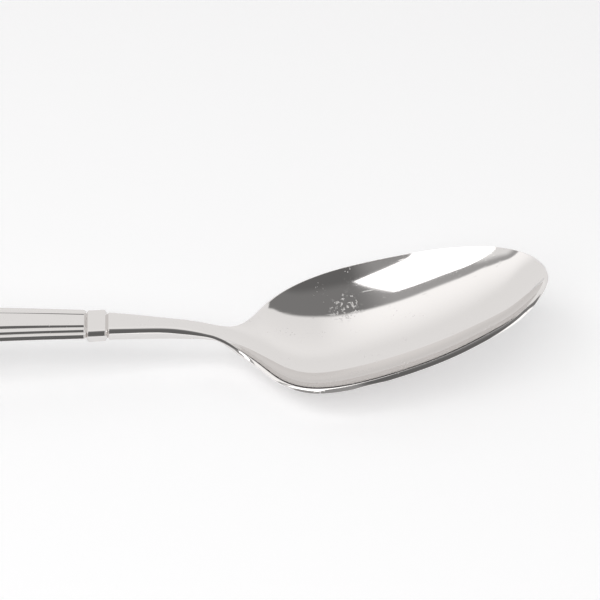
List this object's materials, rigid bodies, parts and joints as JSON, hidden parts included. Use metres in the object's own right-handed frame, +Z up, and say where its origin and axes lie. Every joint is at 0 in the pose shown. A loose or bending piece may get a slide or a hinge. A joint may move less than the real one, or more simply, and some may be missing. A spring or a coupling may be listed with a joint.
{
  "type": "tablespoon",
  "caption": "Polished stainless tablespoon: a pointed egg-shaped bowl on a slim curved shank, a plain collar band and a flat stepped handle that ends round.",
  "frame": {"origin": "on the table, under the middle of the spoon's bounding box", "axes": "+X from the handle's end to the tip of the bowl, +Y across the spoon, +Z up, away from the table"},
  "size_m": [0.2054, 0.0444, 0.0239],
  "materials": {
    "bowl_steel": "polished stainless steel",
    "shank_steel": "polished stainless steel",
    "collar_steel": "polished stainless steel",
    "handle_steel": "polished stainless steel"
  },
  "bodies": {
    "root": {"bowl": "bowl_steel", "shank": "shank_steel", "collar": "collar_steel", "handle": "handle_steel"}
  },
  "joints": []
}
